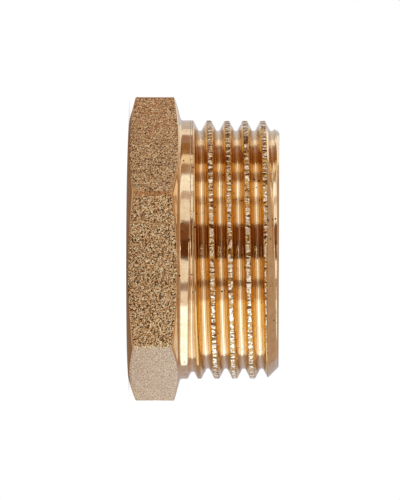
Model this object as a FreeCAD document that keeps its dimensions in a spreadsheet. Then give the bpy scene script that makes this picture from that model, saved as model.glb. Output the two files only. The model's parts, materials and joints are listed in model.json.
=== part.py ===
import FreeCAD, Part
import math
import os
import Sketcher

# Threaded reducing bushing, turned from one piece of hot pressed brass.
# Millimetres. The axis is Z, the head end face lies at height 0, the threaded end points up.
# Two corners of the hexagon lie on the X axis, and two flats face along Y.

DIMENSIONS = [
    ("total_length", "15.2", "head end face to threaded end"),
    ("head_height", "5.23", "head end face to the foot of the shoulder bevel"),
    ("across_flats", "27.1", "hexagon for a 27 mm spanner, as pressed"),
    ("corner_round", "0.4", "radius on the six upright corners"),
    ("bevel_angle", "15", "slope of the turned bevels on both sides of the hexagon"),
    ("end_face_dia", "26.2", "flat part of the head end face"),
    ("foot_bevel", "0.2", "small bevel where the shoulder meets the collar"),
    ("collar_height", "1.28", "foot of the shoulder to the middle of the last groove"),
    ("male_dia", "26.441", "nominal diameter of the outer pipe thread"),
    ("male_crest_cut", "0.1205", "how far the outer crests are turned below nominal"),
    ("female_dia", "20.955", "nominal diameter of the inner pipe thread"),
    ("female_crest_cut", "0.1842", "how far the inner crests are bored beyond nominal"),
    ("pitch", "1.8143", "both threads, 14 turns to the inch"),
    ("flank_angle", "27.5", "each flank from the plane across the axis"),
    ("depth_ratio", "0.640327", "full thread depth in pitches"),
    ("root_ratio", "0.166667", "width of the groove bottom in pitches"),
    ("cutter_margin", "0.1", "how far the thread cutter stands clear of the crests"),
    ("tip_step", "0.19", "how far the end chamfer starts inside the outer roots"),
    ("mouth_step", "0.1", "how far the mouths open beyond the inner roots"),
    ("start_angle", "45", "polar angle where the outer groove leaves its lead"),
    ("fade_angle", "170", "turn over which the outer groove fades out"),
]

doc = FreeCAD.newDocument("bushing")

sheet = doc.addObject("Spreadsheet::Sheet", "Dimensions")
for row, (alias, value, meaning) in enumerate(DIMENSIONS, start=1):
    sheet.set(f"A{row}", alias)
    sheet.set(f"B{row}", value)
    sheet.set(f"C{row}", meaning)
    sheet.setAlias(f"B{row}", alias)
doc.recompute()

# Radii, heights and slopes that several features share, as expressions over the sheet.
DEPTH = "(Dimensions.depth_ratio * Dimensions.pitch)"
CREST = "(Dimensions.male_dia / 2 - Dimensions.male_crest_cut)"
ROOT = f"(Dimensions.male_dia / 2 - {DEPTH})"
INNER_ROOT = "(Dimensions.female_dia / 2)"
INNER_CREST = f"({INNER_ROOT} - {DEPTH} + Dimensions.female_crest_cut)"
MOUTH = f"({INNER_ROOT} + Dimensions.mouth_step)"
TIP = f"({ROOT} - Dimensions.tip_step)"
FOOT = "(Dimensions.head_height + Dimensions.foot_bevel)"
LAST_GROOVE = "(Dimensions.head_height + Dimensions.collar_height)"
BEVEL = "tan(Dimensions.bevel_angle)"
# A radius beyond every corner, for the open side of a cut.
OUTSIDE = "(Dimensions.across_flats)"


def number(expression):
    return float(sheet.evalExpression(expression))


def new_sketch(body, name, role, height=None, turn=None):
    """A sketch on an origin plane, lifted along the axis or turned about it."""
    sketch = body.newObject("Sketcher::SketchObject", name)
    origin_plane = next(item for item in body.Origin.OriginFeatures if item.Role == role)
    sketch.AttachmentSupport = [(origin_plane, "")]
    sketch.MapMode = "FlatFace"
    if height:
        sketch.setExpression("AttachmentOffset.Base.z", height)
    if turn:
        rotation = FreeCAD.Rotation(FreeCAD.Vector(0, 1, 0), number(turn))
        sketch.AttachmentOffset = FreeCAD.Placement(FreeCAD.Vector(), rotation)
        sketch.setExpression("AttachmentOffset.Rotation.Angle", turn)
    return sketch


def tie(sketch, constraint, expression):
    """Add a dimension to a sketch and bind it to the sheet."""
    index = sketch.addConstraint(constraint)
    sketch.setExpression(f"Constraints[{index}]", expression)


def add_outline(sketch, points):
    """Lines round a closed outline, through points given as pairs of expressions."""
    corners = [FreeCAD.Vector(number(x), number(y), 0) for x, y in points]
    count = len(corners)
    for side in range(count):
        sketch.addGeometry(Part.LineSegment(corners[side], corners[(side + 1) % count]), False)
    for side, (x, y) in enumerate(points):
        sketch.addConstraint(Sketcher.Constraint("Coincident", side, 2, (side + 1) % count, 1))
        tie(sketch, Sketcher.Constraint("DistanceX", -1, 1, side, 1, corners[side].x), x)
        tie(sketch, Sketcher.Constraint("DistanceY", -1, 1, side, 1, corners[side].y), y)


def add_quartered_circle(sketch, radius):
    """A circle of four arcs, so that the wall it makes has four equal faces."""
    size = number(radius)
    circle = Part.Circle(FreeCAD.Vector(), FreeCAD.Vector(0, 0, 1), size)
    for quarter in range(4):
        start = math.radians(90 * quarter)
        sketch.addGeometry(Part.ArcOfCircle(circle, start, start + math.pi / 2), False)
    for quarter in range(4):
        axis = -1 if quarter % 2 == 0 else -2
        sketch.addConstraint(Sketcher.Constraint("Coincident", quarter, 3, -1, 1))
        sketch.addConstraint(Sketcher.Constraint("Coincident", quarter, 2, (quarter + 1) % 4, 1))
        sketch.addConstraint(Sketcher.Constraint("PointOnObject", quarter, 1, axis))
    tie(sketch, Sketcher.Constraint("Radius", 0, size), radius)


def add_groove_outline(sketch):
    """The V of the outer thread with its narrow bottom, open past the crests."""
    mouth = f"({CREST} + Dimensions.cutter_margin)"
    bottom_half = "(Dimensions.root_ratio * Dimensions.pitch / 2)"
    mouth_half = f"({bottom_half} + ({mouth} - {ROOT}) * tan(Dimensions.flank_angle))"
    add_outline(sketch, [
        (ROOT, f"{LAST_GROOVE} + {bottom_half}"),
        (mouth, f"{LAST_GROOVE} + {mouth_half}"),
        (mouth, f"{LAST_GROOVE} - {mouth_half}"),
        (ROOT, f"{LAST_GROOVE} - {bottom_half}"),
    ])


def revolve(body, kind, name, sketch):
    """Add or take away a profile turned right round the axis."""
    turned = body.newObject(kind, name)
    turned.Profile = sketch
    turned.ReferenceAxis = (sketch, ["V_Axis"])
    turned.Angle = 360
    return turned


def turn_away(body, name, radius, height, outward, upward):
    """Turn off the 45 degree edge that starts at a radius and a height."""
    reach = f"{OUTSIDE} / 4"
    rim = f"({radius} + {outward} * {reach})"
    sketch = new_sketch(body, f"{name}Profile", "XZ_Plane")
    add_outline(sketch, [
        (radius, height),
        (rim, f"{height} - {upward} * {reach}"),
        (rim, f"{height} + {upward} * {reach}"),
    ])
    revolve(body, "PartDesign::Groove", name, sketch).Refine = False
    doc.recompute()


def add_turned_blank(body):
    """The head as turned: both bevels, the end face and the small bevel at the foot of the shoulder."""
    corner = "(Dimensions.across_flats / sqrt(3) + 1)"
    sketch = new_sketch(body, "BlankProfile", "XZ_Plane")
    add_outline(sketch, [
        ("0", "0"),
        ("Dimensions.end_face_dia / 2", "0"),
        (corner, f"({corner} - Dimensions.end_face_dia / 2) * {BEVEL}"),
        (corner, f"Dimensions.head_height - ({corner} - {CREST}) * {BEVEL}"),
        (f"{CREST} + Dimensions.foot_bevel", f"Dimensions.head_height - Dimensions.foot_bevel * {BEVEL}"),
        (CREST, FOOT),
        ("0", FOOT),
    ])
    revolve(body, "PartDesign::Revolution", "TurnedBlank", sketch)
    doc.recompute()


def add_hexagon(body):
    """The hexagon left standing when all round it is taken off down to the shoulder."""
    sketch = new_sketch(body, "HexagonOutline", "XY_Plane")
    add_rounded_hexagon(sketch)
    outside = Part.Circle(FreeCAD.Vector(), FreeCAD.Vector(0, 0, 1), number(OUTSIDE))
    ring = sketch.addGeometry(outside, False)
    sketch.addConstraint(Sketcher.Constraint("Coincident", ring, 3, -1, 1))
    tie(sketch, Sketcher.Constraint("Radius", ring, number(OUTSIDE)), OUTSIDE)
    cut = body.newObject("PartDesign::Pocket", "Hexagon")
    cut.Profile = sketch
    cut.Reversed = True
    cut.setExpression("Length", "Dimensions.head_height")
    doc.recompute()


def add_rounded_hexagon(sketch):
    """Six flats, the second one facing along Y, and six corner arcs between them."""
    flat = "(Dimensions.across_flats / 2)"
    half = f"(({flat} - Dimensions.corner_round) * tan(30))"
    for side in range(6):
        facing = 30 + 60 * side
        ends = []
        for along in (f"-{half}", half):
            x = f"{flat} * cos({facing}) - {along} * sin({facing})"
            y = f"{flat} * sin({facing}) + {along} * cos({facing})"
            ends.append((x, y))
        start, end = (FreeCAD.Vector(number(x), number(y), 0) for x, y in ends)
        line = sketch.addGeometry(Part.LineSegment(start, end), False)
        for point, (x, y) in enumerate(ends, start=1):
            tie(sketch, Sketcher.Constraint("DistanceX", -1, 1, line, point, number(x)), x)
            tie(sketch, Sketcher.Constraint("DistanceY", -1, 1, line, point, number(y)), y)
    radius = "Dimensions.corner_round"
    reach = number(f"({flat} - {radius}) / cos(30)")
    for side in range(6):
        facing = math.radians(60 + 60 * side)
        centre = FreeCAD.Vector(reach * math.cos(facing), reach * math.sin(facing), 0)
        circle = Part.Circle(centre, FreeCAD.Vector(0, 0, 1), number(radius))
        curve = Part.ArcOfCircle(circle, facing - math.pi / 6, facing + math.pi / 6)
        arc = sketch.addGeometry(curve, False)
        sketch.addConstraint(Sketcher.Constraint("Coincident", arc, 1, side, 2))
        sketch.addConstraint(Sketcher.Constraint("Coincident", arc, 2, (side + 1) % 6, 1))
        tie(sketch, Sketcher.Constraint("Radius", arc, number(radius)), radius)


def add_shank(body):
    """The collar and the threaded length before threading, with the end chamfer."""
    sketch = new_sketch(body, "ShankOutline", "XY_Plane", height=FOOT)
    add_quartered_circle(sketch, CREST)
    shank = body.newObject("PartDesign::Pad", "Shank")
    shank.Profile = sketch
    shank.Refine = False
    shank.setExpression("Length", f"Dimensions.total_length - {FOOT}")
    doc.recompute()
    turn_away(body, "EndChamfer", TIP, "Dimensions.total_length", 1, 1)


def add_bore(body):
    """The bore right through at the crests of the inner thread, opened at both ends past its roots."""
    sketch = new_sketch(body, "BoreOutline", "XY_Plane")
    circle = Part.Circle(FreeCAD.Vector(), FreeCAD.Vector(0, 0, 1), number(INNER_CREST))
    sketch.addGeometry(circle, False)
    sketch.addConstraint(Sketcher.Constraint("Coincident", 0, 3, -1, 1))
    tie(sketch, Sketcher.Constraint("Radius", 0, circle.Radius), INNER_CREST)
    bore = body.newObject("PartDesign::Pocket", "Bore")
    bore.Profile = sketch
    bore.Reversed = True
    bore.Refine = False
    bore.setExpression("Length", "Dimensions.total_length")
    doc.recompute()
    turn_away(body, "HeadMouth", MOUTH, "0", -1, -1)
    turn_away(body, "EndMouth", MOUTH, "Dimensions.total_length", -1, 1)


def follow_helix(body, name, mode, settings):
    """Cut the outer groove along a helix that starts where the groove leaves its lead."""
    sketch = new_sketch(body, f"{name}Outline", "XZ_Plane", turn="Dimensions.start_angle")
    add_groove_outline(sketch)
    helix = body.newObject("PartDesign::SubtractiveHelix", name)
    helix.Profile = sketch
    helix.ReferenceAxis = (sketch, ["V_Axis"])
    helix.Mode = mode
    helix.Refine = False
    for setting, expression in settings.items():
        helix.setExpression(setting, expression)
    return helix


def add_outer_thread(body):
    """The outer groove up past the end, and its run-out, which stays level and fades out."""
    follow_helix(body, "OuterThread", "pitch-turns-angle", {
        "Pitch": "Dimensions.pitch",
        "Turns": f"(Dimensions.total_length - {LAST_GROOVE}) / Dimensions.pitch + 1",
        "Angle": "0",
    })
    doc.recompute()
    run_out = follow_helix(body, "RunOut", "height-turns-growth", {
        "Height": "0",
        "Turns": "Dimensions.fade_angle / 360",
        "Growth": f"({CREST} - {ROOT}) * 360 / Dimensions.fade_angle",
    })
    run_out.LeftHanded = True
    doc.recompute()


bushing = doc.addObject("PartDesign::Body", "bushing_body")
bushing.Label = "bushing_body"
bushing.Placement = FreeCAD.Placement()
add_turned_blank(bushing)
add_hexagon(bushing)
add_shank(bushing)
add_bore(bushing)
add_outer_thread(bushing)
doc.recompute()

for item in doc.Objects:
    if "Invalid" in item.State or "Error" in item.State:
        raise RuntimeError(f"{item.Name} did not compute")
if bushing.Shape.isNull() or not bushing.Shape.isValid() or len(bushing.Shape.Solids) != 1:
    raise RuntimeError("the bushing is not one valid solid")

os.makedirs("parts", exist_ok=True)
bushing.Shape.exportStep(f"parts/{bushing.Label}.step")
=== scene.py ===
import json
import math

import bmesh
import bpy
import numpy as np
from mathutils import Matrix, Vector, noise


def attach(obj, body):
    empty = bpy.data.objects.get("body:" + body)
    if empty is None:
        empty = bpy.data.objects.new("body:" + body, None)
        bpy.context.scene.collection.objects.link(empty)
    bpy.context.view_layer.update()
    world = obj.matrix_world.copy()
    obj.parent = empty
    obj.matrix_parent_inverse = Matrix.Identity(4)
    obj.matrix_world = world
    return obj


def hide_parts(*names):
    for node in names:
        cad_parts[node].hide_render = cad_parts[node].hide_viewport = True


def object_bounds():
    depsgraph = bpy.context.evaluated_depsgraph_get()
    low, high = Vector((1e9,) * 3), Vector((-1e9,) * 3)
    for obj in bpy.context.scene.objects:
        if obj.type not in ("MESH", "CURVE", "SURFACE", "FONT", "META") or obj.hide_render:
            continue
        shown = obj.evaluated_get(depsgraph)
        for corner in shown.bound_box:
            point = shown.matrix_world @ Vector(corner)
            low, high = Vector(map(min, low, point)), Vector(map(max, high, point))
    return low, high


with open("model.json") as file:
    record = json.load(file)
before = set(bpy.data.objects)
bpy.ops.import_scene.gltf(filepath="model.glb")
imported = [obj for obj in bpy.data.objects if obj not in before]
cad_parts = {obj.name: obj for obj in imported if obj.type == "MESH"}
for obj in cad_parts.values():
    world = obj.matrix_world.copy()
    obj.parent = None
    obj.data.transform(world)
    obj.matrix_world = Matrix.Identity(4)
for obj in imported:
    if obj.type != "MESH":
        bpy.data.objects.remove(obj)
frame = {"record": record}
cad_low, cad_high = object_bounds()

# Lengths are in millimetres, and from the stage on in metres: MM turns one into the other. Angles are in
# degrees until math.radians turns them.
MM = 0.001
TURN = 2 * math.pi
mounts = {mount["name"]: mount for mount in frame["record"]["mounts"]}

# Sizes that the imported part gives.
LENGTH = cad_high.z / MM
FLAT = cad_high.y / MM
CREST = mounts["male_thread"]["dims"]["r_mm"]
BORE = mounts["female_thread"]["dims"]["r_mm"]

# The turned head and collar.
HEAD = 5.23
END_FACE = 13.1
BEVEL_ANGLE = math.radians(15)
BEVEL = math.tan(BEVEL_ANGLE)
CORNER_ROUND = 0.4
CORNER_SPAN = 0.745
FOOT_ROUND = 0.3
FOOT_ARC = (255, 235, 215, 197, 180)
FOOT_GAP = 0.03
EDGE = 0.06
CORNER_RADIUS = FLAT / math.cos(math.radians(30))

# Both pipe threads: 14 turns to the inch, flanks at 27.5 degrees, narrow flat groove bottoms.
PITCH = 1.8143
FLANK = math.tan(math.radians(27.5))
ROOT_HALF = PITCH / 12
ROOT_BLEND = 0.035
OUTER_ROOT = 26.441 / 2 - 0.640327 * PITCH
INNER_ROOT = 20.955 / 2
CREST_EDGE = 0.035
DEPTH = CREST - OUTER_ROOT
FULL_HALF = ROOT_HALF + DEPTH * FLANK
INNER_HALF = ROOT_HALF + (INNER_ROOT - BORE) * FLANK
OUTER_TURNS = 7
INNER_TURNS = 10

# The outer groove leaves its lead at START, and fades out over FADE before that.
START = 45
FADE = math.radians(170)
GROOVE_FOOT = 6.51

# The end chamfer, and the mouths of the bore.
TIP = OUTER_ROOT - 0.19
TIP_RISE = OUTER_ROOT - TIP
CHAMFER_FOOT = LENGTH - (CREST - TIP)
MOUTH = INNER_ROOT + 0.1
MARGIN = 0.1

# Rows of the mesh: radii on the end faces, and shares of a bevel, a cylinder, a chamfer and a groove.
HEAD_RINGS = (11.2, 12.1)
TIP_RINGS = (11.4, 10.9)
BEVEL_SHARES = (0, 0.35, 0.7, 1)
WALL_SHARES = (0.15, 0.5, 0.85)
TIP_SHARES = (0.7, 0.3)
SIDE_ROWS = 16
ROOT_SHARE = 0.7
LOW_FLANK = 0.1
HIGH_FLANK = 0.88
GROOVE_CORNER = 0.05
GROOVE_CORNER_SHARE = 0.3
INNER_CORNER = 0.04
ZONES = ["turned", "pressed", "thread", "bore"]

# Roughness in the mesh: its depths, and each noise as its feature size and its seed.
DENT_DEPTH = 0.016
DENTS = ((1.7, 3.1), (0.8, 8.4))
BITE_DEPTH = 0.075
BITES = ((0.55, 2.7), (0.3, 6.3))
BITE_LIMIT = 1.3
LIP_SHIFT = 0.035
LIPS = (0.35, 5.2)
SQUEEZE = 0.3
TEAR_RUN = 0.5
TORN_BAND = 0.12
TORN_MARGIN = 0.4

# Blasted texture: noise features to the millimetre, depth of the dents, reach of the scorch.
GRAIN_SCALE = 4.8
GLINT_SCALE = 6.0
SPECK_SCALE = 5.4
SPECK_SHIFT = (37, 11, 5)
PATCH_SCALE = 0.45
GRAIN_DEPTH = 0.34
SCORCH_REACH = 10.0
# Painted light: the flats are painted paler beyond this distance to one side.
PAINTED_LIGHT_SIDE = FLAT * math.tan(math.radians(30))

# Turned texture: noise features to the millimetre, depths, and how far the rings waver.
RING_SCALE = 7.0
CLOUD_SCALE = 1.1
RING_DEPTH = 0.0004
CLOUD_DEPTH = 0.01
RING_DRIFT = 0.03

# Torn crests: noise features to the millimetre, their stretch, ragged edge, depth and added roughness.
DASH_SCALE = 2.9
DASH_STRETCH = (1, 1, 0.25)
RAGGED_SCALE = 3.2
RAGGED_WIDTH = 0.36
TORN_DEPTH = 0.10
TORN_ROUGHNESS = 0.22
# Painted shade: the torn crests get more of it from this x to this x, on one side of the part.
SHADED_SIDE = (-5, -11)

# Colours of the pressed and the turned brass.
PRESSED_LOW = (0.15, 0.06, 0.018)
PRESSED_HIGH = (0.92, 0.56, 0.255)
# Painted highlight: the colour of the glints on the blasted flats, and of the lit half of the corner lines.
PAINTED_GLINT = (1.0, 0.84, 0.55)
# Painted light on the paler flats of one side.
PAINTED_PALE_LIGHT = (1.0, 0.84, 0.64)
PRESSED_PATCH = (0.50, 0.28, 0.13)
# Heat marks round one corner, and the painted shade of the corner lines on one side.
PRESSED_SCORCH_AND_SHADE = (0.60, 0.27, 0.10)
PRESSED_SPECK = (0.06, 0.025, 0.012)
TURNED_LOW = (0.78, 0.55, 0.32)
TURNED_HIGH = (0.86, 0.65, 0.42)
RING = (0.62, 0.38, 0.20)
# Painted light in the grooves: reflections from flank to flank in shades of gold, and a cream highlight on
# the groove bottoms.
PAINTED_DEEP_GOLD = (0.54, 0.27, 0.06)
PAINTED_FLANK_GOLD = (1.0, 0.78, 0.39)
PAINTED_EDGE_GOLD = (0.60, 0.34, 0.11)
PAINTED_ROOT_CREAM = (0.89, 0.69, 0.45)
# Painted shade in the low parts of the torn crests, and a painted highlight on the lumps.
TORN_PAINTED_SHADE = (0.15, 0.055, 0.018)
TORN_PAINTED_HIGHLIGHT = (1.0, 0.88, 0.69)
PIT = (0.02, 0.012, 0.008)

# The camera looks level, at right angles to the axis, and the axis runs across the picture.
VIEW_ANGLE = 261
DISTANCE = 675
CAMERA_HEIGHT = 15.1
AIM_HEIGHT = 7.19
AIM_DROP = 0.05
PICTURE_SPAN = 50.7
ROLL = 0.2

# The stage, in metres. The camera sees the floor, and the metal reflects the ceiling and both discs below.
FLOOR_RADIUS = 0.036
FLOOR_GREY = 0.95
FLOOR_GLOW = 0.75
FLOOR_SIDES = 96
DISC_SIDES = 48
CEILING_HEIGHT = 0.5
CEILING_RADIUS = 1.1
CEILING_SHIFT = 0.7
CEILING = (0.50, 0.37, 0.28)
GROUND_HEIGHT = -0.0006
GROUND = (0.62, 0.47, 0.36)
# Painted shade: the smaller, dull brown disc below stands in for the floor's shadow under the part, as the
# metal reflects it.
UNDER_HEIGHT = -0.0003
UNDER_RADIUS = 0.0146
UNDER_SHADE = (0.26, 0.16, 0.10)

# Cards round the part: from and to angles off the camera's direction, bottom, top and colour.
CARD_RADIUS = 0.95
CARD_STEPS = 6
CARDS = [
    (-9, 9, -0.5, 0.9, (0.13, 0.045, 0.014)),
    (9, 25, -0.5, 0.9, (0.22, 0.09, 0.035)),
    (45, 53, -0.5, 0.9, (0.66, 0.56, 0.52)),
    (70, 82, -0.5, 0.9, (0.45, 0.31, 0.21)),
    (82, 93, -0.5, 0.9, (1.0, 0.90, 0.73)),
    (93, 110, -0.5, 0.9, (0.30, 0.135, 0.03)),
    (109, 123, -0.5, 0.9, (0.40, 0.25, 0.20)),
    (135, 180, -0.28, 0.28, (0.62, 0.60, 0.62)),
    (-37, -29, -0.5, 0.9, (0.36, 0.27, 0.22)),
    (-180, -125, -0.28, 0.45, (0.50, 0.455, 0.48)),
]

# The square lamp overhead.
TOP_HEIGHT = 1.0
TOP_SIZE = 1.2
TOP_POWER = 4.0

# Square lamps for the blasted and torn brass: name, angle off the camera, rise, distance, size and power.
LAMPS = [
    ("front", -12, 42, 1.0, 0.5, 3.8),
    ("low", -140, 0, 1.25, 0.55, 3.4),
    ("high", 102, 0, 1.25, 0.4, 1.0),
]

# Tall lamps: name, angle off the camera, width in degrees and level.
STRIP_RADIUS = 0.6
STRIP_HEIGHT = 1.0
STRIP_COLOUR = (0.55, 0.85, 1.15)
STRIPS = [
    ("side", -88, 74, 0.9),
    ("above", 61, 16, 0.35),
]


def column_angles():
    """One turn of polar angles up to START, closest together at the corners of the hexagon."""
    steps = [0, 0.25, 0.5, 0.74, 1.1, *range(2, 31)]
    angles = set()
    for corner in range(-360, 61, 60):
        for step in steps:
            angles.update((corner - step, corner + step))
    return np.array(sorted(angle for angle in angles if START - 360 <= angle <= START))


DEGREES = column_angles()
THETA = np.radians(DEGREES)
LEAD = THETA - math.radians(START)


def hexagon_radius():
    """Radius of the hexagon at each column, with its rounded corners."""
    from_corner = np.radians((DEGREES + 30) % 60 - 30)
    flat = FLAT / np.cos(math.radians(30) - np.abs(from_corner))
    reach = (FLAT - CORNER_ROUND) / math.cos(math.radians(30))
    across = reach * np.sin(from_corner)
    inside = np.maximum(CORNER_ROUND ** 2 - across ** 2, 0)
    corner = reach * np.cos(from_corner) + np.sqrt(inside)
    near = np.abs(from_corner) < math.radians(CORNER_SPAN)
    return np.where(near, corner, flat)


def soft_min(one, other, blend):
    """The smaller of two radii, with a small round where they meet."""
    gap = np.clip(0.5 + (other - one) / (2 * blend), 0, 1)
    return other * (1 - gap) + one * gap - blend * gap * (1 - gap)


def groove_radius(offset, root, lift):
    """Radius of a groove at an offset from its middle: a flat bottom, then straight flanks."""
    flank = (np.abs(offset) - ROOT_HALF) / FLANK
    return root + lift - soft_min(-flank, 0 * flank, ROOT_BLEND)


def outer_groove(turn):
    """Run from the start of the lead, height of the middle, lift, half width and edge of one turn."""
    run = LEAD + TURN * turn
    lift = np.clip(-run / FADE, 0, 1) * DEPTH
    run_in = np.clip((run + TURN) / (TURN - FADE), 0, 1)
    half = np.where(run < -FADE, ROOT_HALF * run_in, ROOT_HALF + (DEPTH - lift) * FLANK)
    height = GROOVE_FOOT + PITCH * np.maximum(run, 0) / TURN
    slide = np.clip((-run - FADE) / (TURN - FADE), 0, 1)
    height = height - slide * (FULL_HALF + CREST_EDGE)
    edge = CREST_EDGE * (1 - slide)
    return run, height, lift, half, edge


def outer_radius(z):
    """Radius of the threaded length at a height in each column."""
    radius = np.full_like(z, CREST)
    for turn in range(OUTER_TURNS):
        _, height, lift, _, _ = outer_groove(turn)
        radius = np.minimum(radius, groove_radius(z - height, OUTER_ROOT, lift))
    return soft_min(radius, TIP + LENGTH - z, EDGE / 2)


def inner_height(turn):
    """Height of the middle of one turn of the inner groove."""
    return PITCH * (turn + LEAD / TURN)


def inner_radius(z):
    """Radius of the bore at a height in each column: thread, or the mouths where they are wider."""
    radius = np.full_like(z, BORE)
    for turn in range(INNER_TURNS):
        offset = z - inner_height(turn)
        radius = np.maximum(radius, INNER_ROOT - groove_radius(offset, 0, 0))
    mouth = np.maximum(MOUTH - z, MOUTH - LENGTH + z)
    return -soft_min(-radius, -mouth, EDGE / 2)


class Rows:
    """The rows of the closed profile, in order round it, each with a height and a radius per column."""

    def __init__(self):
        self.heights = []
        self.radii = []
        self.zones = []

    def add(self, height, radius, zone="turned"):
        self.heights.append(np.broadcast_to(height, THETA.shape).astype(float))
        self.radii.append(np.broadcast_to(radius, THETA.shape).astype(float))
        self.zones.append(zone)


def surface_noise(radius, height, size, seed, squeeze=1.0):
    """Smooth noise from -1 to 1 at every column of a row, with features of about this size."""
    x = radius * np.cos(THETA) / size + seed
    y = radius * np.sin(THETA) / size - seed
    z = np.broadcast_to(height, THETA.shape) * squeeze / size
    return np.array([noise.noise(Vector(point)) for point in zip(x, y, z)])


def add_head(rows):
    """End face, low bevel, flats, shoulder and the small round at its foot, whose height it returns."""
    hexagon = hexagon_radius()
    for radius in (MOUTH + EDGE, *HEAD_RINGS, END_FACE - EDGE):
        rows.add(0, radius)
    for share in BEVEL_SHARES:
        radius = END_FACE + EDGE + (hexagon - END_FACE - 2 * EDGE) * share
        rows.add((radius - END_FACE) * BEVEL, radius)
    low = (hexagon - END_FACE) * BEVEL + EDGE
    high = HEAD - (hexagon - CREST) * BEVEL - EDGE
    for step in range(SIDE_ROWS + 1):
        height = low + (high - low) * step / SIDE_ROWS
        dent = sum(surface_noise(hexagon, height, *dents) for dents in DENTS)
        edge_fade = min(step, SIDE_ROWS - step, 2) / 2
        zone = "pressed" if step < SIDE_ROWS else "turned"
        rows.add(height, hexagon - edge_fade * DENT_DEPTH * (1 + dent / 2), zone)
    inner = CREST + FOOT_ROUND * (1 - math.sin(BEVEL_ANGLE))
    for share in BEVEL_SHARES:
        radius = hexagon - EDGE + (inner + FOOT_GAP - hexagon + EDGE) * share
        rows.add(HEAD - (radius - CREST) * BEVEL, radius)
    centre = HEAD + FOOT_ROUND * (1 - math.sin(BEVEL_ANGLE)) / math.cos(BEVEL_ANGLE)
    for angle in FOOT_ARC:
        turn = math.radians(angle)
        rows.add(centre + FOOT_ROUND * math.sin(turn), CREST + FOOT_ROUND * (1 + math.cos(turn)))
    return centre


def tear(run):
    """How torn a crest is: not at all up to the end of the lead, then fully."""
    part = np.clip(run / TEAR_RUN, 0, 1)
    return part * part * (3 - 2 * part)


def add_outer_thread(rows, start):
    """Collar, grooves and crests up to the end chamfer, which cuts the last turns short."""
    _, height, _, half, edge = outer_groove(0)
    lowest = height - half - edge
    for share in WALL_SHARES:
        rows.add(start + (lowest - start) * share, CREST)
    top = LENGTH - TIP_RISE
    for turn in range(OUTER_TURNS):
        run, height, _, half, edge = outer_groove(turn)
        root = np.minimum(ROOT_HALF, half)
        foot = root + np.minimum(GROOVE_CORNER, (half - root) * GROOVE_CORNER_SHARE)
        flank = half - edge - foot
        lower = tear(run - TURN)
        upper = tear(run)
        low_lip = [-half - edge, -half + edge, -foot - flank * HIGH_FLANK]
        groove = [
            -foot - flank * LOW_FLANK, -foot, -root * ROOT_SHARE, root * 0,
            root * ROOT_SHARE, foot, foot + flank * LOW_FLANK,
        ]
        high_lip = [foot + flank * HIGH_FLANK, half - edge, half + edge]
        for offsets, torn in ((low_lip, lower), (groove, 0), (high_lip, upper)):
            for offset in offsets:
                z = height + offset
                z = z + torn * LIP_SHIFT * surface_noise(CREST, z, *LIPS, SQUEEZE)
                add_trimmed(rows, np.minimum(z, top), torn)
        _, next_height, _, next_half, next_edge = outer_groove(turn + 1)
        low = height + half + edge
        high = next_height - next_half - next_edge
        for share in WALL_SHARES:
            add_trimmed(rows, np.minimum(low + (high - low) * share, top), upper)


def add_trimmed(rows, z, torn):
    """A row of the threaded length, roughened inward where its crest is torn."""
    radius = outer_radius(z)
    near_crest = np.clip((radius - CREST + TORN_BAND) / TORN_BAND, 0, 1)
    bite = 0.5 + 0.5 * sum(surface_noise(CREST, z, *bites, SQUEEZE) for bites in BITES)
    fade = np.clip((LENGTH - TIP_RISE - z) / TORN_MARGIN, 0, 1)
    rows.add(z, radius - torn * near_crest * fade * BITE_DEPTH * np.clip(bite, 0, BITE_LIMIT), "thread")


def add_tip(rows):
    """End chamfer below the face, and the face itself."""
    for share in TIP_SHARES:
        height = LENGTH - TIP_RISE * share
        rows.add(height, TIP + LENGTH - height)
    for radius in (TIP - EDGE, *TIP_RINGS, MOUTH + EDGE):
        rows.add(LENGTH, radius)


def add_inner_thread(rows):
    """The bore from the threaded end down to the head, thread and both mouths."""
    root = ROOT_HALF + INNER_CORNER
    outside = INNER_HALF + CREST_EDGE
    inside = INNER_HALF - CREST_EDGE
    for turn in reversed(range(INNER_TURNS)):
        height = inner_height(turn)
        for offset in (PITCH / 2, outside, inside, root, 0, -root, -inside, -outside):
            z = np.clip(height + offset, MARGIN, LENGTH - MARGIN)
            rows.add(z, inner_radius(z), "bore")


def build_bushing():
    """One closed mesh round the whole profile."""
    rows = Rows()
    foot = add_head(rows)
    add_outer_thread(rows, foot)
    add_tip(rows)
    add_inner_thread(rows)
    heights = np.array(rows.heights)
    radii = np.array(rows.radii)
    count, columns = heights.shape
    points = np.stack([radii * np.cos(THETA), radii * np.sin(THETA), heights], axis=2) * MM
    first = np.arange(count)[:, None] * columns + np.arange(columns - 1)[None, :]
    after = np.roll(first, -1, axis=0)
    faces = np.stack([first, first + 1, after + 1, after], axis=2).reshape(-1, 4)
    mesh = bpy.data.meshes.new("bushing")
    mesh.from_pydata(points.reshape(-1, 3).tolist(), [], faces.tolist())
    zones = np.repeat([ZONES.index(zone) for zone in rows.zones], columns - 1)
    mesh.polygons.foreach_set("material_index", zones.astype(np.int32))
    mesh.polygons.foreach_set("use_smooth", np.ones(len(mesh.polygons), bool))
    work = bmesh.new()
    work.from_mesh(mesh)
    bmesh.ops.remove_doubles(work, verts=work.verts, dist=2e-8)
    bmesh.ops.dissolve_degenerate(work, edges=work.edges, dist=1e-8)
    work.to_mesh(mesh)
    work.free()
    piece = bpy.data.objects.new("bushing", mesh)
    bpy.context.scene.collection.objects.link(piece)
    return piece


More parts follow.
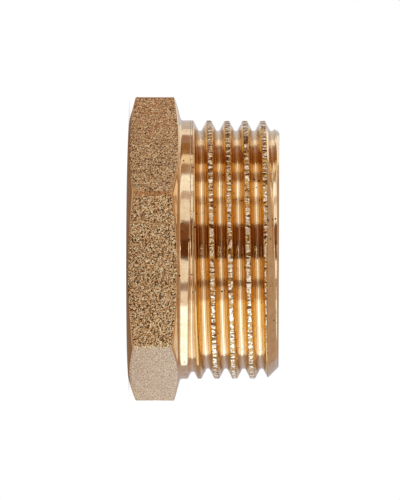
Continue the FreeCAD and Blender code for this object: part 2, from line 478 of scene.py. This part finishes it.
class Shader:
    """A material's node tree, with short calls that add a node and link what goes into it."""

    def __init__(self, tree):
        tree.nodes.clear()
        self.tree = tree

    def add(self, kind, inputs=None, **settings):
        node = self.tree.nodes.new(kind)
        for name, value in settings.items():
            setattr(node, name, value)
        for key, value in (inputs or {}).items():
            if isinstance(value, bpy.types.NodeSocket):
                self.tree.links.new(value, node.inputs[key])
            else:
                node.inputs[key].default_value = value
        return node

    def math(self, operation, first, second=0.0, third=0.0):
        inputs = {0: first, 1: second, 2: third}
        return self.add("ShaderNodeMath", inputs, operation=operation).outputs[0]

    def vector(self, operation, first, second=(0, 0, 0)):
        return self.add("ShaderNodeVectorMath", {0: first, 1: second}, operation=operation).outputs

    def scale(self, place, factor):
        inputs = {0: place, "Scale": factor}
        return self.add("ShaderNodeVectorMath", inputs, operation="SCALE").outputs[0]

    def split(self, place):
        return self.add("ShaderNodeSeparateXYZ", {0: place}).outputs

    def ramp(self, value, low, high, out_low=0.0, out_high=1.0):
        """Map a value from one range to another, smoothly and clamped."""
        inputs = {"Value": value, "From Min": low, "From Max": high, "To Min": out_low, "To Max": out_high}
        return self.add("ShaderNodeMapRange", inputs, interpolation_type="SMOOTHSTEP").outputs[0]

    def noise(self, vector, scale, detail=2.0, roughness=0.5):
        inputs = {"Vector": vector, "Scale": scale, "Detail": detail, "Roughness": roughness}
        return self.add("ShaderNodeTexNoise", inputs).outputs["Fac"]

    def mix(self, factor, first, second):
        node = self.add("ShaderNodeMix", {"Factor": factor}, data_type="RGBA")
        for socket, colour in ((node.inputs[6], first), (node.inputs[7], second)):
            if isinstance(colour, bpy.types.NodeSocket):
                self.tree.links.new(colour, socket)
            else:
                socket.default_value = (*colour, 1)
        return node.outputs[2]

    def bump(self, height, depth, under=None):
        """Bumps of a depth in millimetres, over another normal if there is one."""
        inputs = {"Height": height, "Distance": depth * MM, "Strength": 1.0}
        if under:
            inputs["Normal"] = under
        return self.add("ShaderNodeBump", inputs).outputs[0]

    def millimetres(self):
        """Object coordinates in millimetres, with the radius and the height apart."""
        place = self.scale(self.add("ShaderNodeTexCoord").outputs["Object"], 1 / MM)
        parts = self.split(place)
        flat = self.add("ShaderNodeCombineXYZ", {"X": parts[0], "Y": parts[1]}).outputs[0]
        return place, self.vector("LENGTH", flat)["Value"], parts[2]

    def pits(self, place, spacing, size, share):
        """1 inside small round pits, one at most in each cell, and none in most cells."""
        cells = self.add("ShaderNodeTexVoronoi", {"Vector": place, "Scale": 1 / spacing})
        chance = self.split(cells.outputs["Color"])[0]
        reach = self.math("MULTIPLY", self.ramp(chance, 1 - share, 1.0, 0.35, 1.0), size / spacing)
        inside = self.math("SUBTRACT", reach, cells.outputs["Distance"])
        chosen = self.math("GREATER_THAN", chance, 1 - share)
        soft_edge = 0.2 * size / spacing
        return self.math("MULTIPLY", self.ramp(inside, -soft_edge, soft_edge), chosen)

    def finish(self, colour, roughness, normal):
        inputs = {"Base Color": colour, "Metallic": 1.0, "Roughness": roughness, "Normal": normal}
        surface = self.add("ShaderNodeBsdfPrincipled", inputs)
        self.add("ShaderNodeOutputMaterial", {"Surface": surface.outputs[0]})


def new_material(name):
    material = bpy.data.materials.new(name)
    material.use_nodes = True
    return material, Shader(material.node_tree)


def pressed_brass():
    """Hot pressed and shot blasted: a grain of small dents, with painted glints for sparkle, painted light
    on one side and a painted highlight and shade along the corners.
    """
    material, shader = new_material("pressed")
    place, radius, _ = shader.millimetres()
    side = shader.split(place)[0]
    grain = shader.noise(place, GRAIN_SCALE, 2.0, 0.7)
    colour = shader.mix(shader.ramp(grain, 0.43, 0.53), PRESSED_LOW, PRESSED_HIGH)
    # Duller patches, and heat marks round one corner.
    patches = shader.noise(place, PATCH_SCALE, 3.0, 0.6)
    colour = shader.mix(shader.ramp(patches, 0.35, 0.7, 0.0, 0.35), colour, PRESSED_PATCH)
    apart = shader.vector("DISTANCE", place, (-FLAT, 0, HEAD * 0.9))["Value"]
    colour = shader.mix(shader.ramp(apart, 1.0, SCORCH_REACH, 0.7, 0.0), colour, PRESSED_SCORCH_AND_SHADE)
    # Painted glints, and dark specks.
    painted_glints = shader.noise(place, GLINT_SCALE, 1.0, 0.5)
    colour = shader.mix(shader.ramp(painted_glints, 0.53, 0.59), colour, PAINTED_GLINT)
    dark = shader.noise(shader.vector("ADD", place, SPECK_SHIFT)[0], SPECK_SCALE, 1.0, 0.5)
    colour = shader.mix(shader.ramp(dark, 0.42, 0.34, 0.0, 0.9), colour, PRESSED_SPECK)
    # Painted light: the flats on one side are paler, as if lit more.
    pale = shader.ramp(side, PAINTED_LIGHT_SIDE - 0.2, PAINTED_LIGHT_SIDE + 0.2, 0.0, 0.62)
    colour = shader.mix(pale, colour, PAINTED_PALE_LIGHT)
    # A ragged line along each corner, with painted shade on one side of the part and a painted highlight on
    # the other.
    edge = shader.mix(shader.ramp(side, -2, 2), PRESSED_SCORCH_AND_SHADE, PAINTED_GLINT)
    rim = shader.math("MULTIPLY_ADD", grain, 0.5, radius)
    corner_light_mask = shader.ramp(rim, CORNER_RADIUS + 0.06, CORNER_RADIUS + 0.14, 0.0, 0.6)
    colour = shader.mix(corner_light_mask, colour, edge)
    roughness = shader.ramp(grain, 0.4, 0.65, 0.34, 0.18)
    shader.finish(colour, roughness, shader.bump(grain, GRAIN_DEPTH))
    return material


def painted_groove_light(shader, radius, height, colour):
    """Painted light in the grooves: a cream painted highlight in the groove bottoms, and painted reflections
    in shades of gold on the flanks, but for the end chamfer and the run-out.
    """
    off_chamfer = shader.ramp(height, CHAMFER_FOOT + 0.35, CHAMFER_FOOT - 0.1)
    flank_light_mask = shader.math("MULTIPLY", shader.ramp(radius, OUTER_ROOT + 0.08, OUTER_ROOT + 0.2), off_chamfer)
    past_run_out = shader.ramp(height, GROOVE_FOOT + 0.25, GROOVE_FOOT + 0.5)
    flank_light_mask = shader.math("MULTIPLY", past_run_out, flank_light_mask)
    # Painted reflections on the flanks: a deeper gold low in the groove and near the crests.
    gold = shader.mix(shader.ramp(radius, OUTER_ROOT + 0.4, OUTER_ROOT + 0.7), PAINTED_DEEP_GOLD, PAINTED_FLANK_GOLD)
    gold = shader.mix(shader.ramp(radius, CREST - 0.2, CREST - 0.1), gold, PAINTED_EDGE_GOLD)
    colour = shader.mix(flank_light_mask, colour, gold)
    # Painted highlight along the groove bottoms.
    root_highlight_mask = shader.ramp(radius, OUTER_ROOT + 0.2, OUTER_ROOT + 0.1)
    return shader.mix(root_highlight_mask, colour, PAINTED_ROOT_CREAM)


def torn_crests(shader, place, radius, height):
    """How torn the surface is, and the pattern of its lumps, with painted shade where it is low and more of
    it towards one side.
    """
    across = shader.vector("MULTIPLY", place, DASH_STRETCH)[0]
    dashes = shader.noise(across, DASH_SCALE, 1.5, 0.6)
    # Painted shade towards one side.
    side_shade = shader.ramp(shader.split(place)[0], *SHADED_SIDE, 0.0, 0.08)
    dashes = shader.math("SUBTRACT", dashes, side_shade)
    ragged = shader.noise(place, RAGGED_SCALE, 2.0, 0.6)
    ragged = shader.math("MULTIPLY_ADD", ragged, RAGGED_WIDTH, radius)
    crest = shader.ramp(ragged, CREST + 0.10, CREST + 0.16)
    past_run_out = shader.ramp(height, GROOVE_FOOT + 0.6, GROOVE_FOOT + 1.6)
    return shader.math("MULTIPLY", crest, past_run_out), dashes


def turned_brass(name, threaded=False):
    """Turned and left bare: fine rings, small black pits and, on the thread, torn crests with painted
    highlights and shade, and painted light in the grooves.
    """
    material, shader = new_material(name)
    place, radius, height = shader.millimetres()
    profile = shader.add("ShaderNodeCombineXYZ", {"X": radius, "Y": height}).outputs[0]
    drift = shader.scale(place, RING_DRIFT)
    rings = shader.noise(shader.vector("ADD", profile, drift)[0], RING_SCALE, 3.0, 0.6)
    cloud = shader.noise(place, CLOUD_SCALE, 4.0, 0.6)
    normal = shader.bump(cloud, CLOUD_DEPTH, shader.bump(rings, RING_DEPTH))
    colour = shader.mix(shader.ramp(cloud, 0.35, 0.7), TURNED_LOW, TURNED_HIGH)
    colour = shader.mix(shader.ramp(rings, 0.55, 0.75, 0.0, 0.3), colour, RING)
    roughness = shader.ramp(cloud, 0.3, 0.75, 0.07, 0.13)
    if threaded:
        colour = painted_groove_light(shader, radius, height, colour)
        torn, dashes = torn_crests(shader, place, radius, height)
        normal = shader.bump(shader.math("MULTIPLY", dashes, torn), TORN_DEPTH, normal)
        # Painted light on the torn crests: shade where the lumps are low, a highlight where they are high.
        torn_light_and_shade = shader.mix(shader.ramp(dashes, 0.41, 0.45), TORN_PAINTED_SHADE, TORN_PAINTED_HIGHLIGHT)
        colour = shader.mix(torn, colour, torn_light_and_shade)
        roughness = shader.math("MULTIPLY_ADD", torn, TORN_ROUGHNESS, roughness)
    pits = shader.math("MAXIMUM", shader.pits(place, 0.6, 0.11, 0.5), shader.pits(place, 0.3, 0.05, 0.4))
    colour = shader.mix(shader.math("MULTIPLY", pits, 0.95), colour, PIT)
    shader.finish(colour, roughness, normal)
    return material


def toward(angle):
    """Level direction at a polar angle."""
    turn = math.radians(angle)
    return Vector((math.cos(turn), math.sin(turn), 0))


def add_camera():
    """Level camera off the side of the part, turned so that its right is the part's up."""
    data = bpy.data.cameras.new("camera")
    data.lens = data.sensor_width * DISTANCE / PICTURE_SPAN
    camera = bpy.data.objects.new("camera", data)
    place = (toward(VIEW_ANGLE) * DISTANCE + Vector((0, 0, CAMERA_HEIGHT))) * MM
    picture_up = toward(VIEW_ANGLE - 90)
    aim = (Vector((0, 0, AIM_HEIGHT)) - picture_up * AIM_DROP) * MM
    back = (place - aim).normalized()
    right = picture_up.cross(back).normalized()
    up = back.cross(right)
    roll = math.radians(ROLL)
    rolled_right = right * math.cos(roll) + up * math.sin(roll)
    rolled_up = up * math.cos(roll) - right * math.sin(roll)
    matrix = (rolled_right.to_4d(), rolled_up.to_4d(), back.to_4d(), place.to_4d())
    for column, vector in enumerate(matrix):
        for row in range(3):
            camera.matrix_world[row][column] = vector[row]
    bpy.context.scene.collection.objects.link(camera)
    bpy.context.scene.camera = camera


def reflected(name, mesh, colour):
    """A plain sheet of one colour that only the metal sees."""
    material, shader = new_material(name)
    light = shader.add("ShaderNodeEmission", {"Color": (*colour, 1), "Strength": 1.0})
    shader.add("ShaderNodeOutputMaterial", {"Surface": light.outputs[0]})
    mesh.materials.append(material)
    sheet = bpy.data.objects.new(name, mesh)
    sheet.visible_camera = False
    sheet.visible_shadow = False
    sheet.visible_diffuse = False
    bpy.context.scene.collection.objects.link(sheet)
    return sheet


def disc_mesh(name, sides, radius, height, shift=0):
    """A level round sheet, shifted down the picture."""
    middle = toward(VIEW_ANGLE + 90) * shift
    rim = [middle + toward(360 * step / sides) * radius for step in range(sides)]
    mesh = bpy.data.meshes.new(name)
    mesh.from_pydata([(point.x, point.y, height) for point in rim], [], [tuple(range(sides))])
    return mesh


def add_ceiling():
    """A dull disc overhead, which the end chamfer and the threads reflect."""
    mesh = disc_mesh("ceiling", DISC_SIDES, CEILING_RADIUS, CEILING_HEIGHT, CEILING_SHIFT)
    return reflected("ceiling", mesh, CEILING)


def add_ground(name, radius, height, colour):
    """A dull disc just under the floor, which the metal reflects in place of the floor."""
    return reflected(name, disc_mesh(name, DISC_SIDES, radius, height), colour)


def add_card(index, start, end, bottom, top, colour):
    """An upright strip that the metal reflects."""
    name = f"card_{index}"
    points = []
    for step in range(CARD_STEPS + 1):
        side = toward(VIEW_ANGLE - start - (end - start) * step / CARD_STEPS) * CARD_RADIUS
        points.extend(((side.x, side.y, bottom), (side.x, side.y, top)))
    faces = [(2 * step, 2 * step + 2, 2 * step + 3, 2 * step + 1) for step in range(CARD_STEPS)]
    mesh = bpy.data.meshes.new(name)
    mesh.from_pydata(points, [], faces)
    return reflected(name, mesh, colour)


def add_floor():
    """A plain pale disc under the part, which keeps some of its shadow."""
    material, shader = new_material("floor")
    grey = (FLOOR_GREY, FLOOR_GREY, FLOOR_GREY, 1)
    matt = shader.add("ShaderNodeBsdfDiffuse", {"Color": grey})
    white = shader.add("ShaderNodeEmission", {"Color": (1, 1, 1, 1), "Strength": 1.0})
    path = shader.add("ShaderNodeLightPath").outputs
    share = shader.math("MULTIPLY", path["Is Camera Ray"], FLOOR_GLOW)
    both = shader.add("ShaderNodeMixShader", {0: share, 1: matt.outputs[0], 2: white.outputs[0]})
    shader.add("ShaderNodeOutputMaterial", {"Surface": both.outputs[0]})
    mesh = disc_mesh("floor", FLOOR_SIDES, FLOOR_RADIUS, 0)
    mesh.materials.append(material)
    floor = bpy.data.objects.new("floor", mesh)
    floor.visible_glossy = False
    bpy.context.scene.collection.objects.link(floor)
    return floor


def add_world():
    """Plain white all round, as in a light tent."""
    world = bpy.data.worlds.new("studio")
    world.use_nodes = True
    shader = Shader(world.node_tree)
    light = shader.add("ShaderNodeBackground", {"Color": (1, 1, 1, 1), "Strength": 1.0})
    shader.add("ShaderNodeOutputWorld", {"Surface": light.outputs[0]})
    bpy.context.scene.world = world


def link_lamp(name, data, place):
    """Put a lamp at a place, facing the part."""
    lamp = bpy.data.objects.new(name, data)
    lamp.location = place
    lamp.rotation_mode = "QUATERNION"
    lamp.rotation_quaternion = place.to_track_quat("Z", "Y")
    bpy.context.scene.collection.objects.link(lamp)


def add_lamp(name, place, size, power):
    """A soft square lamp."""
    data = bpy.data.lights.new(name, "AREA")
    data.size = size
    data.energy = power
    link_lamp(name, data, place)


def add_strip(name, angle, width, level):
    """A tall soft lamp, cool white, that lifts a bright band."""
    data = bpy.data.lights.new(name, "AREA")
    data.shape = "RECTANGLE"
    data.size = 2 * STRIP_RADIUS * math.tan(math.radians(width / 2))
    data.size_y = STRIP_HEIGHT
    data.color = STRIP_COLOUR
    data.energy = level * math.pi * data.size * data.size_y
    link_lamp(name, data, toward(VIEW_ANGLE - angle) * STRIP_RADIUS)


bushing = build_bushing()
materials = [turned_brass("turned"), pressed_brass(), turned_brass("thread", True), turned_brass("bore")]
for material in materials:
    bushing.data.materials.append(material)
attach(bushing, "root")
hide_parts("bushing_body")

add_floor()
add_ceiling()
add_ground("ground", FLOOR_RADIUS, GROUND_HEIGHT, GROUND)
# Painted shade under the part, as the metal reflects it.
add_ground("under", UNDER_RADIUS, UNDER_HEIGHT, UNDER_SHADE)
for index, card in enumerate(CARDS):
    add_card(index, *card)
add_camera()
add_world()
add_lamp("top", Vector((0, 0, TOP_HEIGHT)), TOP_SIZE, TOP_POWER)
for name, angle, rise, away, size, power in LAMPS:
    place = toward(VIEW_ANGLE - angle) * away * math.cos(math.radians(rise))
    place.z = away * math.sin(math.radians(rise))
    add_lamp(name, place, size, power)
for strip in STRIPS:
    add_strip(*strip)
bpy.context.scene.view_settings.view_transform = "Standard"
